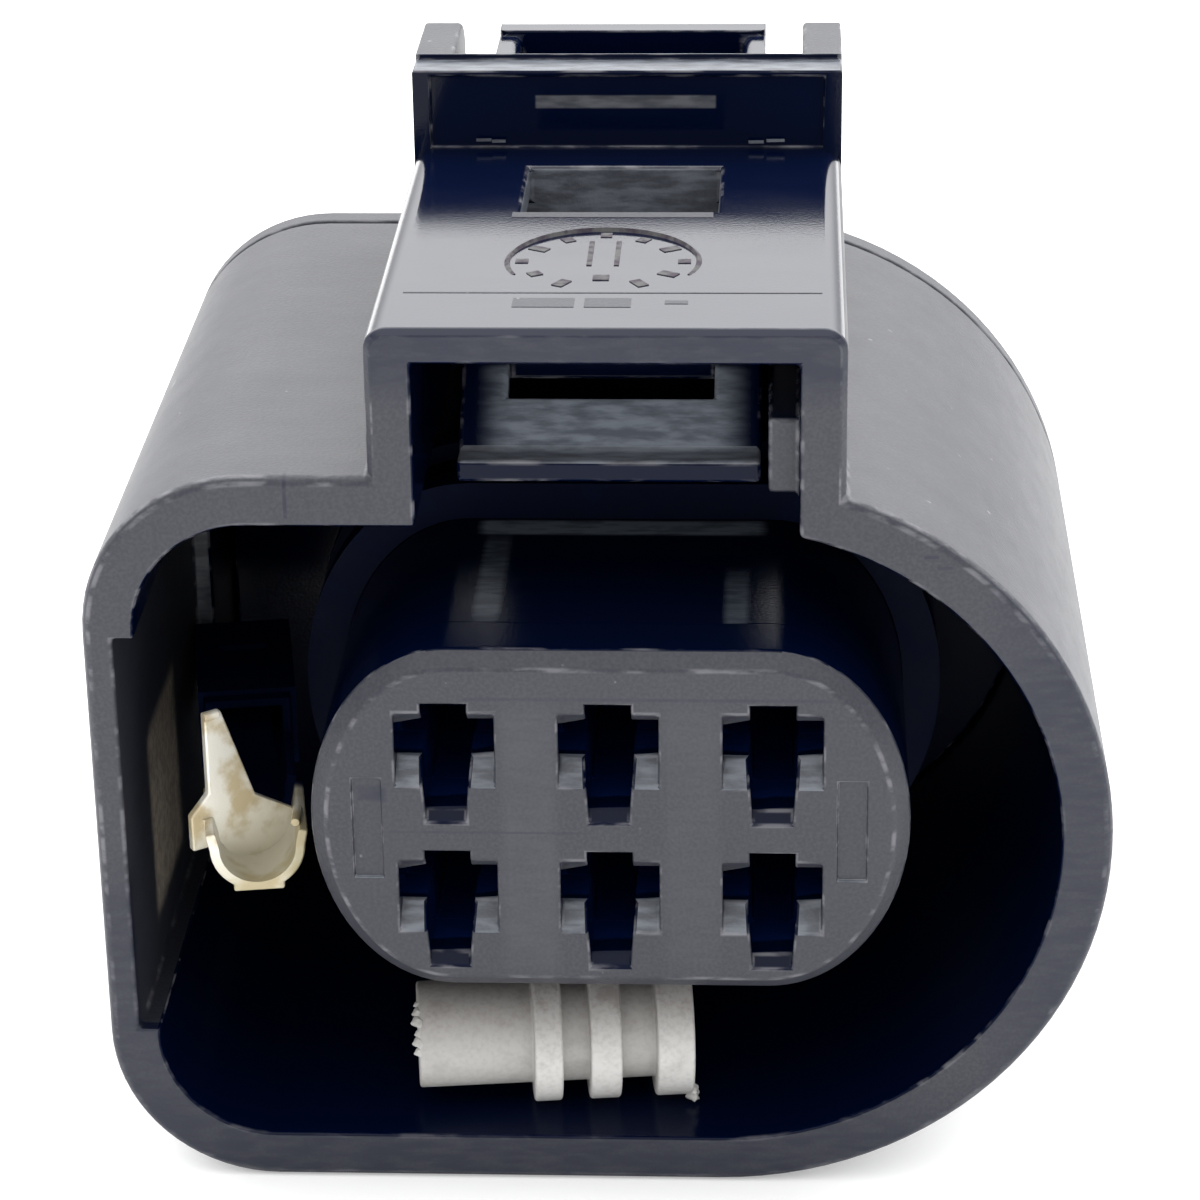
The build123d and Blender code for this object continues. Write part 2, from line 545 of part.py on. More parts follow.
os.makedirs("parts", exist_ok=True)
for name, shape in build().items():
    export_step(shape, f"parts/{name}.step")
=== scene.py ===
# %% [markdown]
# # A sealed cable connector
# The part is a six-way plug for a car's wiring. A D-shaped collar surrounds an oval block with
# six cross-shaped cavities, and a latch guard with a rocking lever stands on the collar.
# The solids come from the CAD frame. This lesson gives them rounded edges, moulding marks and
# finishes, and lights them as in the product photograph.

from math import cos, degrees, hypot, inf, pi, radians, sin

import bmesh
import bpy
from mathutils import Matrix, Vector


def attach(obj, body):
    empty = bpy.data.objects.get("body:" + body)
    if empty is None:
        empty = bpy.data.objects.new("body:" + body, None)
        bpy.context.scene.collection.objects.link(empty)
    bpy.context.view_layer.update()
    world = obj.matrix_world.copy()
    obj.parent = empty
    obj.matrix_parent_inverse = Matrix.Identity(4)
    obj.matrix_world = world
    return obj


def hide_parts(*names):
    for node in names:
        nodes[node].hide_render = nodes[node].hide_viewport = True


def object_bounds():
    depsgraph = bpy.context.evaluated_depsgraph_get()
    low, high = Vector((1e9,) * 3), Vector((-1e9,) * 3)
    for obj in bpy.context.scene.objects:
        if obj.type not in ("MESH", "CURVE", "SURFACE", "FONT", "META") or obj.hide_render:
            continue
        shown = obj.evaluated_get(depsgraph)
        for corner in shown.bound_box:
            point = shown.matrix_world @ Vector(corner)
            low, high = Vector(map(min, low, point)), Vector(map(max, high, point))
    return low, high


MM = 0.001

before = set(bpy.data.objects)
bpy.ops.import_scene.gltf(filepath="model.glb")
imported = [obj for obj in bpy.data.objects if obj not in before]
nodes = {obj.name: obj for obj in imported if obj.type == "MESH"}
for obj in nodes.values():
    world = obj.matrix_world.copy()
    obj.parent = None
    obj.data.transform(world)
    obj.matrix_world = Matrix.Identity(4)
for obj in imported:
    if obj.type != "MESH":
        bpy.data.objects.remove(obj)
cad_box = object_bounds()

# %% [markdown]
# ## The camera
# The photograph was taken from a little above and a hand's breadth away. A camera could be
# nudged by eye until the picture fits. Here its direction and distance were worked out from the
# six cavities and the collar's outline instead, so three angles, a range and a lens place it.

# %% Camera
AIM = Vector((-0.238, 1.2, 7.276)) * MM
RANGE = 116.349 * MM
YAW, PITCH, ROLL = radians(2.910), radians(23.851), radians(-0.856)
LENS = 115.805
CLIP_NEAR, CLIP_FAR = 0.01, 10

back = Vector((sin(YAW) * cos(PITCH), -cos(YAW) * cos(PITCH), sin(PITCH)))
level_side = (-back).cross(Vector((0, 0, 1))).normalized()
level_up = level_side.cross(-back)
side = cos(ROLL) * level_side + sin(ROLL) * level_up
up = cos(ROLL) * level_up - sin(ROLL) * level_side

camera = bpy.data.objects.new("photo_camera", bpy.data.cameras.new("photo_camera"))
bpy.context.scene.collection.objects.link(camera)
turned = Matrix((side, up, back)).transposed().to_4x4()
camera.matrix_world = Matrix.Translation(AIM + back * RANGE) @ turned
camera.data.lens = LENS
camera.data.clip_start, camera.data.clip_end = CLIP_NEAR, CLIP_FAR
bpy.context.scene.camera = camera
bpy.context.scene.view_settings.view_transform = "Standard"
print("camera at", [round(v / MM, 1) for v in camera.matrix_world.translation], "mm")

# %% [markdown]
# ## Shader sums
# A finish is a small calculation: a mask times a colour, plus some noise. It could be wired by
# hand in the node editor, but forty Math nodes are hard to read. So a socket is wrapped in a
# class whose operators add the Math nodes, and a sum in Python becomes a sum in the material.

# %% Values
class Value:
    """An output socket that can be used in sums."""

    def __init__(self, finish, socket):
        self.finish, self.socket = finish, socket

    def math(self, operation, first, second):
        return self.finish.node("ShaderNodeMath", {"operation": operation}, {0: first, 1: second})

    def __add__(self, other):
        return self.math("ADD", self, other)

    def __sub__(self, other):
        return self.math("SUBTRACT", self, other)

    def __rsub__(self, other):
        return self.math("SUBTRACT", other, self)

    def __mul__(self, other):
        return self.math("MULTIPLY", self, other)

    __radd__, __rmul__ = __add__, __mul__

    def at_least(self, other):
        return self.math("MAXIMUM", self, other)

    def at_most(self, other):
        return self.math("MINIMUM", self, other)

    def ramp(self, low, high):
        """0 before low, 1 past high, and smooth between; low may be the larger."""
        return self.finish.node(
            "ShaderNodeMapRange", {"interpolation_type": "SMOOTHSTEP"},
            {"Value": self, "From Min": low, "From Max": high})


print("values can be added, subtracted, multiplied, limited and ramped")

# %% [markdown]
# ## Finishes
# A finish is the node tree of one material. Its node method makes every node from a type, its
# settings and its sockets, so nothing else touches Blender's node calls. The other methods are
# the few things that all finishes here need: a position in millimetres, noise and a soft box.

# %% Finishes
class Finish:
    """The node tree of one material, or of the world."""

    def __init__(self, owner):
        owner.use_nodes = True
        self.owner, self.tree = owner, owner.node_tree
        self.tree.nodes.clear()

    def node(self, kind, settings=None, sockets=None, output=0):
        """Makes a node; a socket takes a number, a colour or a Value, which is linked."""
        made = self.tree.nodes.new(kind)
        for name, value in (settings or {}).items():
            setattr(made, name, value)
        for name, value in (sockets or {}).items():
            if isinstance(value, Value):
                self.tree.links.new(value.socket, made.inputs[name])
            else:
                made.inputs[name].default_value = value
        return Value(self, made.outputs[output]) if made.outputs else None

    def blend(self, factor, first, second):
        """A colour between two colours."""
        return self.node("ShaderNodeMix", {"data_type": "RGBA"},
                         {0: factor, 6: first, 7: second}, output=2)

    def place(self, stretch=(1, 1, 1)):
        """The rest position in millimetres, times stretch."""
        where = self.node("ShaderNodeTexCoord", output="Object")
        return self.node("ShaderNodeVectorMath", {"operation": "MULTIPLY"},
                         {0: where, 1: [s / MM for s in stretch]})

    def speckle(self, per_mm, detail=2.0, stretch=(1, 1, 1)):
        """Noise with so many spots to a millimetre."""
        return self.node("ShaderNodeTexNoise", {},
                         {"Vector": self.place(stretch), "Scale": per_mm, "Detail": detail})

    def axis(self, name, direction=None):
        """One coordinate of the rest position in millimetres, or of a direction."""
        source = self.place() if direction is None else direction
        return self.node("ShaderNodeSeparateXYZ", {}, {0: source}, output=name)

    def mark(self, name):
        """A number that the mesh carries as an attribute."""
        return self.node("ShaderNodeAttribute", {"attribute_name": name}, output="Fac")

    def inside(self, name, low, high, soft):
        """1 where a coordinate in millimetres lies between two limits, fading over soft."""
        at = self.axis(name)
        return at.ramp(low - soft, low) * at.ramp(high + soft, high)

    def bump(self, height, depth_mm):
        return self.node("ShaderNodeBump", {},
                         {"Height": height, "Strength": 1.0, "Distance": depth_mm * MM})

    def principled(self, **sockets):
        """A Principled shader; underscores in the sockets' names stand for spaces."""
        named = {name.replace("_", " "): value for name, value in sockets.items()}
        return self.node("ShaderNodeBsdfPrincipled", {}, named)

    def mixed(self, factor, first, second):
        return self.node("ShaderNodeMixShader", {}, {0: factor, 1: first, 2: second})

    def end(self, shader, kind="ShaderNodeOutputMaterial"):
        self.node(kind, {}, {"Surface": shader})
        return self.owner


def new_finish(name):
    return Finish(bpy.data.materials.new(name))


def grey(level, tint=(1, 1, 1)):
    return [level * t for t in tint] + [1]


print("a warm grey:", grey(0.5, (1, 0.98, 0.94)))

# %% [markdown]
# ## Light
# The photograph has a broad bright screen behind the part and a softer light overhead: tops that
# are seen at a flat angle shine pale, bevels that look up are a little brighter than the front,
# and faces turned to the camera stay dark. Area lamps could give that, with noise and hard ends
# in each reflection. A world whose brightness grows to the back, the sides and the top has
# neither, and shows itself to the camera as plain white.

# %% World
SCREEN, OVERHEAD = 2.1, 0.9
RIGHT_SIDE, LEFT_SIDE = 0.75, 0.25

world = bpy.data.worlds.new("studio")
bpy.context.scene.world = world
studio = Finish(world)
direction = studio.node("ShaderNodeTexCoord", output="Generated")
height = studio.axis("Z", direction)
across = studio.axis("X", direction)
behind = studio.axis("Y", direction).ramp(-0.3, 0.6)
beside = across.ramp(0.05, 0.5) * RIGHT_SIDE + across.ramp(-0.05, -0.5) * LEFT_SIDE
screen = height.ramp(0.05, 0.45) * behind * (1.0 + beside) * SCREEN
glow = 1.0 + screen + height.ramp(0.45, 0.95) * OVERHEAD
light = studio.node("ShaderNodeBackground", {}, {"Color": grey(1.0), "Strength": glow})
white = studio.node("ShaderNodeBackground", {}, {"Color": grey(1.0), "Strength": 1.0})
seen = studio.node("ShaderNodeLightPath", output="Is Camera Ray")
studio.end(studio.mixed(seen, light, white), "ShaderNodeOutputWorld")
print("world: screen", SCREEN, "overhead", OVERHEAD)

# %% [markdown]
# ## Floor
# The part stands on white paper and throws a faint shadow. Brighter light would turn the paper
# white and wash the part out. Instead the paper stays pale grey, and camera and mirror rays see
# it lifted, so the ground is white, the shadow stays and the part's light is unchanged.

# %% Floor
FLOOR_HALF = 1.5
FLOOR_GAP = 0.01
PAPER_LIFT = 0.3


def paper():
    finish = new_finish("pale_floor")
    camera_ray = finish.node("ShaderNodeLightPath", output="Is Camera Ray")
    glossy_ray = finish.node("ShaderNodeLightPath", output="Is Glossy Ray")
    clear_ray = finish.node("ShaderNodeLightPath", output="Is Transmission Ray")
    lift = camera_ray.at_least(glossy_ray).at_least(clear_ray) * PAPER_LIFT
    fibre = finish.speckle(0.4)
    tone = finish.blend(fibre, grey(0.79), grey(0.81))
    return finish.end(finish.principled(
        Base_Color=tone, Roughness=0.9, Specular_IOR_Level=0.0,
        Emission_Color=finish.blend(lift, grey(0), grey(1)), Emission_Strength=1.0))


sheet = bpy.data.meshes.new("floor")
corners = [(x * FLOOR_HALF, y * FLOOR_HALF, 0) for x, y in ((-1, -1), (1, -1), (1, 1), (-1, 1))]
sheet.from_pydata(corners, [], [(0, 1, 2, 3)])
sheet.materials.append(paper())
floor = bpy.data.objects.new("floor", sheet)
bpy.context.scene.collection.objects.link(floor)
floor.location.z = cad_box[0].z - FLOOR_GAP * MM
print("floor at", round(floor.location.z / MM, 2), "mm")

# %% [markdown]
# ## Flat regions
# A moulding has no sharp edge: each one has a small radius that catches a line of light. The
# CAD solids keep sharp edges, and a Bevel modifier could round them all by one width. That
# folds over wherever the face beside an edge is narrow. So the mesh is first read as a drawing:
# faces that lie in one plane form a region, and a region's border is what can be bevelled.

# %% Flat regions
FLAT = radians(0.8)


def flat_regions(bm):
    """The faces in groups that lie in one plane and touch, each with its border edges."""
    bm.edges.index_update()
    grouped, regions = set(), []
    for first in bm.faces:
        if first in grouped:
            continue
        grouped.add(first)
        region = [first]
        for face in region:
            for other in (f for edge in face.edges for f in edge.link_faces):
                same = other.material_index == first.material_index
                if other not in grouped and same and other.normal.angle(first.normal, 0) < FLAT:
                    grouped.add(other)
                    region.append(other)
        members = set(region)
        edges = {edge for face in region for edge in face.edges}
        border = [e for e in edges if sum(f in members for f in e.link_faces) == 1]
        regions.append((region, sorted(border, key=lambda e: e.index)))
    return regions


print("faces within", round(degrees(FLAT), 1), "degrees lie in one plane")

# %% [markdown]
# ## Room beside an edge
# How wide a bevel may be follows from how far the region reaches behind the edge. It could be
# tested with rays, but a flat region's own border says it: the nearest border edge alongside
# gives the room, and so does a neighbour that turns inward, by how deep it goes.

# %% Room beside an edge
BENT_AWAY = 0.5
SAME_LINE = 0.01


def room_beside(edge, border, normal):
    """How far a flat region reaches from one of its border edges, in millimetres."""
    start = edge.verts[0].co
    along = edge.verts[1].co - start
    length = along.length
    along.normalize()
    inward = normal.cross(along)
    room = inf
    for other in border:
        if other == edge:
            continue
        ends = [v.co - start for v in other.verts]
        place = [v.dot(along) for v in ends]
        depth = [abs(v.dot(inward)) for v in ends]
        if set(other.verts) & set(edge.verts):
            if max(depth) > BENT_AWAY * other.calc_length():
                room = min(room, max(depth))
        elif min(place) < length and max(place) > 0 and min(depth) > SAME_LINE * MM:
            room = min(room, min(depth))
    return room / MM


def sharpness(edge, other):
    """The angle between two edges at the point they share, in degrees; 180 is straight on."""
    shared = (set(edge.verts) & set(other.verts)).pop()
    first, second = (e.other_vert(shared).co - shared.co for e in (edge, other))
    return degrees(first.angle(second, 0))


print("a neighbour counts when its depth is over", BENT_AWAY, "of its length")

# %% [markdown]
# ## Widths
# Each edge that turns clearly wants the width that its piece asks for, and takes less where the
# room is short, or none in a narrow corner. A line that is cut into many short edges would then
# change width from edge to edge, so all the edges of a smooth chain take the smallest width.

# %% Widths
SHARP = radians(26)
NARROW, STRAIGHT = 35, 150
ROOM_SHARE, TOO_SMALL = 0.42, 0.02


def even_widths(wanted):
    """Gives the edges of each smooth chain one width, the smallest; too small becomes none."""
    left = set(wanted)
    while left:
        chain = [left.pop()]
        for edge in chain:
            for other in {e for v in edge.verts for e in v.link_edges} & left:
                if sharpness(edge, other) > STRAIGHT:
                    left.discard(other)
                    chain.append(other)
        smallest = min(wanted[edge] for edge in chain)
        for edge in chain:
            wanted[edge] = smallest if smallest > TOO_SMALL else 0.0
    return wanted


def edge_widths(bm, width):
    """The bevel's width in millimetres for every sharp edge, limited by the room beside it."""
    wanted = {}
    for edge in bm.edges:
        if len(edge.link_faces) == 2 and edge.calc_face_angle(0) > SHARP:
            middle = (edge.verts[0].co + edge.verts[1].co) / (2 * MM)
            wanted[edge] = width(middle) if callable(width) else width
    for region, border in flat_regions(bm):
        inside = set(border)
        for edge in wanted.keys() & inside:
            room = room_beside(edge, border, region[0].normal)
            beside = [e for v in edge.verts for e in v.link_edges if e in inside and e != edge]
            if any(e in wanted and sharpness(edge, e) < NARROW for e in beside):
                room = 0
            wanted[edge] = min(wanted[edge], ROOM_SHARE * room)
    return even_widths(wanted)


print("edges that turn by more than", round(degrees(SHARP)), "degrees are rounded")

# %% [markdown]
# ## Rounded copies
# The CAD objects stay as they are. A copy of the mesh is cleaned, gets its widths as bevel
# weights and goes through a Bevel modifier, which is steadier than bmesh's own bevel on such
# meshes. Its new faces have material 1, which tells where an edge's middle line runs, so that
# wear can follow it. A bevel can fold the triangles inside a flat region over each other, so
# each flat region is filled again from its border.

# %% Rounded copies
SAME_POINT, SAME_PLANE = 0.001, radians(0.6)


def refill(bm):
    """Fills every flat region again from its border."""
    for region, border in flat_regions(bm):
        if len(region) > 1 and region[0].material_index == 0:
            normal = region[0].normal.copy()
            inner = {edge for face in region for edge in face.edges} - set(border)
            inner = sorted(inner, key=lambda e: e.index)
            bmesh.ops.delete(bm, geom=region, context="FACES_ONLY")
            bmesh.ops.delete(bm, geom=inner, context="EDGES")
            bmesh.ops.triangle_fill(bm, use_beauty=True, edges=border, normal=normal)


def weighted_copy(node, width):
    """An object with a CAD node's cleaned mesh and bevel weights, and the widest bevel in mm."""
    bm = bmesh.new()
    bm.from_mesh(nodes[node].data)
    weight = bm.edges.layers.float.new("bevel_weight_edge")
    bmesh.ops.remove_doubles(bm, verts=bm.verts, dist=SAME_POINT * MM)
    bmesh.ops.dissolve_limit(bm, angle_limit=SAME_PLANE, verts=bm.verts, edges=bm.edges)
    bm.normal_update()
    widths = edge_widths(bm, width)
    widest = max(widths.values())
    for edge, value in widths.items():
        edge[weight] = value / widest
    mesh = bpy.data.meshes.new(node + "_sharp")
    bm.to_mesh(mesh)
    bm.free()
    for _ in range(2):
        mesh.materials.append(None)
    holder = bpy.data.objects.new(node + "_sharp", mesh)
    bpy.context.scene.collection.objects.link(holder)
    return holder, widest


def rounded(node, width, segments=2):
    """A copy of a CAD node's mesh with rounded edges, as an open bmesh with an edge mark."""
    holder, widest = weighted_copy(node, width)
    bevel = holder.modifiers.new("round", "BEVEL")
    bevel.limit_method, bevel.offset_type = "WEIGHT", "OFFSET"
    bevel.width, bevel.segments, bevel.material = widest * MM, segments, 1
    bevel.use_clamp_overlap, bevel.loop_slide = False, False
    done = bmesh.new()
    done.from_object(holder, bpy.context.evaluated_depsgraph_get())
    mesh = holder.data
    bpy.data.objects.remove(holder)
    bpy.data.meshes.remove(mesh)
    edge_mark = done.verts.layers.float.new("edge")
    for vert in done.verts:
        vert[edge_mark] = float(all(face.material_index == 1 for face in vert.link_faces))
    done.normal_update()
    refill(done)
    for face in done.faces:
        face.material_index = 0
    return done


print("a bevel takes at most", ROOM_SHARE, "of the room beside its edge")

# %% [markdown]
# ## Marks and shading
# One moulding has matte and polished faces. They could be split into several materials, but a
# number on each face does it with one finish, and a function of the face's place writes it.
# Smooth shading makes a bevel look round and flat faces look dented. The Weighted Normal
# modifier mends most of that, but it weighs triangles and not regions. So each corner's normal
# is worked out here: a wide flat region outweighs its bevels, and hard corners stay split.

# %% Marks and shading
SPLIT = radians(60)


def set_marks(bm, names, of_face):
    """Writes named numbers on every face, from its middle in mm and its normal."""
    bm.normal_update()
    layers = [bm.faces.layers.float.new(name) for name in names]
    for face in bm.faces:
        for layer, value in zip(layers, of_face(face.calc_center_median() / MM, face.normal)):
            face[layer] = value


def shading_normals(bm):
    """A normal for every face corner, from the regions that meet there."""
    bm.normal_update()
    weight = {}
    for region, border in flat_regions(bm):
        area = sum(face.calc_area() for face in region) / MM ** 2
        weight.update((face, area ** 2) for face in region)
    normals = []
    for face in bm.faces:
        for vert in (loop.vert for loop in face.loops):
            near = [f for f in vert.link_faces if f.normal.angle(face.normal, 0) < SPLIT]
            mean = sum((f.normal * weight[f] for f in near), Vector()).normalized()
            normals.append(mean if mean.length > 0.5 else face.normal.copy())
    return normals


def piece(name, bm, body, finish, stands_for=()):
    """Makes an object of a bmesh, with smooth bevels and flat faces, and gives it to a body."""
    normals = shading_normals(bm)
    mesh = bpy.data.meshes.new(name)
    bm.to_mesh(mesh)
    bm.free()
    mesh.shade_smooth()
    mesh.normals_split_custom_set(normals)
    mesh.materials.clear()
    mesh.materials.append(finish)
    made = bpy.data.objects.new(name, mesh)
    bpy.context.scene.collection.objects.link(made)
    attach(made, body)
    if stands_for:
        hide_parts(*stands_for)
    print(name, "faces:", len(mesh.polygons))
    return made


# %% [markdown]
# ## Moulded plastic
# The housing is a dark glass-filled plastic. The tool's spark-eroded faces mould matte, so they
# look grey, while its polished faces mould glossy and nearly black with a blue cast; on faces
# inside the part that near-black is partly painted shade. One finish does both: every face says
# how polished, glossy, pale and deep it is. A pale face is painted lighter, a painted highlight
# where light falls on it, and a deep face, painted in shade, hardly mirrors its surroundings. A
# shader's IOR can't vary over a surface, so deep faces fade to a second shader with a lower one.
# Grain, patches, specks and worn edges go over it, and last come stains, painted shade and
# painted light, each a soft box with a tone of its own.

# %% Plastic tones
NAVY = (0.15, 1.0, 6.0)
SHEEN = ("polished", "gloss", "pale", "deep")
# Pale faces take a painted light tone; polished faces inside the part are near-black, partly as
# painted shade.
PLAIN, PALE_PAINTED_LIGHT = (0.0, 0.0, 0.0, 0.0), (0.0, 0.2, 1.0, 0.0)
SATIN, POLISHED_IN_SHADE = (1.0, 0.86, 0.0, 0.0), (1.0, 0.7, 0.0, 1.0)
MIRROR = (1.0, 0.98, 0.0, 1.0)

MATTE, GRAIN = grey(0.017, (1, 1.1, 1.7)), grey(0.055, (1, 1.05, 1.25))
SPECK, RUBBED = grey(0.25), grey(0.2, (1, 1, 1.1))
PAINTED_LIGHT_TONE, BLACK = grey(0.2, (0.9, 1, 1.15)), grey(0.0026, NAVY)
PAINTED_GLEAM = grey(0.3, (0.85, 1, 1.15))
PALE_PLASTIC, DARK_PLASTIC = grey(0.07, (1, 1.05, 1.2)), grey(0.003, NAVY)


def plastic_tone(finish, wear, stains_and_painted_light):
    """The plastic's colour, from the marks on its faces, its wear and its stains."""
    patch = finish.speckle(0.16, detail=3.0).ramp(0.35, 0.7)
    rub = finish.speckle(1.3, detail=5.0, stretch=(0.5, 1.0, 1.6)).ramp(0.46, 0.66)
    grain = finish.speckle(9.0).ramp(0.32, 0.72)
    blotches = finish.speckle(3.0, detail=5.0, stretch=(0.3, 1.2, 1.2)).ramp(0.34, 0.66)
    specks = finish.speckle(1.7, detail=1.0).ramp(0.78, 0.81)
    tone = finish.blend(patch * 0.10 + grain * 0.32, MATTE, GRAIN)
    tone = finish.blend(specks * 0.5, tone, SPECK)
    # Painted light: pale faces are lifted toward a light tone, by an amount that the blotch noise
    # varies.
    tone = finish.blend(finish.mark("pale") * (0.2 + blotches * 0.5), tone, PAINTED_LIGHT_TONE)
    # Polished faces turn near-black navy, which inside the part is partly painted shade.
    tone = finish.blend(finish.mark("polished"), tone, BLACK)
    tone = finish.blend(finish.mark("edge") * rub * wear, tone, RUBBED)
    for limits, stain, amount in stains_and_painted_light:
        mask = amount
        for name, low, high, soft in limits:
            mask = finish.inside(name, low, high, soft) * mask
        tone = finish.blend(mask * (0.5 + blotches * 0.5), tone, stain)
    return tone


print("face marks:", SHEEN)

# %% Plastic finish
EDGE_WEAR = 0.55
GRAIN_DEPTH = 0.014
ROUGH_MATTE, ROUGH_DROP, SMOOTHEST = 0.44, 0.37, 0.05


def moulded_plastic(name, stains_and_painted_light=()):
    finish = new_finish(name)
    gloss = finish.mark("gloss")
    smear = finish.speckle(0.7, detail=4.0, stretch=(0.4, 1.0, 2.0))
    relief = finish.speckle(9.0, detail=3.0) * (1.0 - gloss * 0.9)
    rough = ROUGH_MATTE - gloss * ROUGH_DROP + (smear - 0.5) * 0.10
    shared = {"Base_Color": plastic_tone(finish, EDGE_WEAR, stains_and_painted_light),
              "Roughness": rough.at_least(SMOOTHEST),
              "Normal": finish.bump(relief, GRAIN_DEPTH)}
    return finish.end(finish.mixed(finish.mark("deep"), finish.principled(IOR=1.5, **shared),
                                   finish.principled(IOR=1.22, **shared)))


print("plastic roughness from", ROUGH_MATTE, "down to", round(ROUGH_MATTE - ROUGH_DROP, 2))

# %% [markdown]
# ## The collar
# The collar's sides are matte. Its inside, the guard's top, the space under the guard and the
# wall behind the window came off polished steel; the near-black of its inside and of the space
# under the guard is partly painted shade, and the wall's top ledge and the window's walls are
# painted pale as highlights. Which faces are inside could be picked by hand.
# The outline's own distance tells it for any mesh: a rounded square joined to a circle, as in
# the CAD.

# %% The collar's faces
COLLAR_WALL = 1.6
RIM_Y = 1.2
GUARD_TOP, GUARD_SIDE = 15.9, 6.0
MOUTH_HALF, MOUTH_TOP = 5.85, 14.9
WINDOW_HALF, WINDOW_FRONT, WINDOW_BACK, WINDOW_FOOT = 3.4, 12.2, 17.2, 14.6
WALL_Y, WALL_BACK, WALL_TOP, WALL_HALF = 19.0, 20.4, 18.6, 6.7
EAR_FRONT, EAR_ROUND = 20.3, 18.3
RIB_LEFT, RIB_DEPTH, RIB_FOOT = 4.8, 2.6, 9.0
RELIEF_BACK, RELIEF_SIDE = 17.0, -14.0


def outline_depth(x, z):
    """How deep a point lies inside the collar's outline, in millimetres."""
    centre_x, centre_z, radius, left, corner = 3.3, -1.0, 12.2, -16.1, 5.2
    right = centre_x + corner
    half_x, mid_x = (right - left) / 2, (right + left) / 2
    qx = abs(x - mid_x) - half_x + corner
    qz = abs(z - centre_z) - radius + corner
    square = hypot(max(qx, 0), max(qz, 0)) + min(max(qx, qz), 0) - corner
    circle = hypot(x - centre_x, z - centre_z) - radius
    return -min(square, circle)


def collar_sheen(p, normal):
    level, facing = normal.z > 0.5, normal.y < -0.5
    if p.y > WALL_Y - 0.3 and p.z > GUARD_TOP and facing and abs(p.x) < WALL_HALF:
        return MIRROR
    # Painted highlights: the wall's top ledge, the window's walls and a small face at the left
    # rear.
    if WALL_Y - 0.1 < p.y < WALL_BACK and p.z > WALL_TOP - 0.2 and level:
        return PALE_PAINTED_LIGHT
    if abs(p.z - GUARD_TOP) < 0.3 and level:
        return SATIN
    in_window = WINDOW_FRONT < p.y < WINDOW_BACK and abs(p.x) < WINDOW_HALF
    if in_window and p.z > WINDOW_FOOT:
        return PALE_PAINTED_LIGHT
    if abs(p.y - RELIEF_BACK) < 0.05 and p.x < RELIEF_SIDE:
        return PALE_PAINTED_LIGHT
    inside = outline_depth(p.x, p.z) > COLLAR_WALL - 0.1
    under_guard = abs(p.x) < MOUTH_HALF and p.z < MOUTH_TOP
    if p.y > RIM_Y + 0.05 and (inside or under_guard):
        rib_face = p.y < RIB_DEPTH and p.x > RIB_LEFT and p.z > RIB_FOOT and facing
        return PLAIN if rib_face else POLISHED_IN_SHADE
    return PLAIN


def collar_round(p):
    """The guard's top edges and the ears' tops are rounder than the rest."""
    ear_top = p.z > EAR_ROUND and p.y > EAR_FRONT
    at_side = p.y < RIM_Y + 0.3 or abs(p.x) > GUARD_SIDE
    guard_edge = abs(p.z - GUARD_TOP) < 0.1 and at_side
    return 0.5 if ear_top else 0.4 if guard_edge else 0.16


print("the cavities' middle lies", round(outline_depth(0, 0), 2), "mm inside the outline")

# %% [markdown]
# ## The collar's stains, painted shade and painted reflections
# The rim is painted darker as shade at its foot, low on its left, on its right and along the
# guard's front edge, and a few short nicks cross it. A tan painted reflection of the loose
# contact lies on the left wall, and the wall behind the window carries a painted reflection of a
# bright slit. Painted masks would need an image, so each is a soft box instead, given by its
# limits on up to three axes, a tone and an amount.

# %% Collar
RIM = ("Y", -1.0, RIM_Y + 0.4, 0.1)
PAINTED_TAN_REFLECTION, SLIT = grey(0.45, (1, 0.86, 0.68)), grey(0.12, (0.95, 1, 1.1))


def nick(left, right, low, high):
    """A thin dark line across the rim."""
    return [("X", left, right, 0.05), ("Z", low, high, 0.05), RIM], DARK_PLASTIC, 1.0


collar_stains_light_and_shade = [
    # Painted shade on the rim: its foot, its right, low on its left and the guard's front edge.
    ([("Z", -16, -12.2, 3.5), RIM], DARK_PLASTIC, 1.0),
    ([("X", 13.6, 17, 3.0), RIM], DARK_PLASTIC, 0.9),
    ([("X", -17, -14.0, 1.0), ("Z", -12, -4, 3.0), RIM], DARK_PLASTIC, 0.8),
    ([("Z", 14.7, 16, 1.5), RIM], DARK_PLASTIC, 1.2),
    # A painted reflection of the loose contact on the left wall, then a painted reflection of a
    # bright slit on the wall behind the window.
    ([("X", -15.4, -13.9, 0.2), ("Y", 6.5, 11.0, 1.0), ("Z", -5.8, -0.2, 0.8)], PAINTED_TAN_REFLECTION, 0.8),
    ([("X", -3.0, 2.9, 0.1), ("Z", 17.3, 17.65, 0.08), ("Y", 18.9, 19.4, 0.1)], SLIT, 1.0),
    nick(-9.68, -9.62, 9.9, 11.5), nick(-14.8, -14.0, 5.82, 5.88),
    nick(-15.25, -14.6, -7.85, -7.8), nick(-10.04, -9.98, -12.3, -11.8),
    nick(14.0, 14.7, -2.5, -2.45), nick(14.6, 15.3, -2.85, -2.8),
    nick(9.5, 9.9, 8.7, 8.75), nick(9.9, 10.3, 8.35, 8.4)]
housing_plastic = moulded_plastic("housing_plastic", collar_stains_light_and_shade)
shell = rounded("collar", collar_round, segments=3)
set_marks(shell, SHEEN, collar_sheen)
collar = piece("collar_shell", shell, "housing", housing_plastic, ["collar"])

# %% [markdown]
# ## The block
# The block behind the retainer is polished and dark, partly as painted shade, and its cavities
# are painted navy as shade, which makes them read as navy crosses. A painted highlight crosses
# its top in front of its seal, with two faint painted streaks of light. It could be rounded all
# over, but its front edges lie against the retainer, where no light reaches them, so they stay
# sharp and cost no faces.

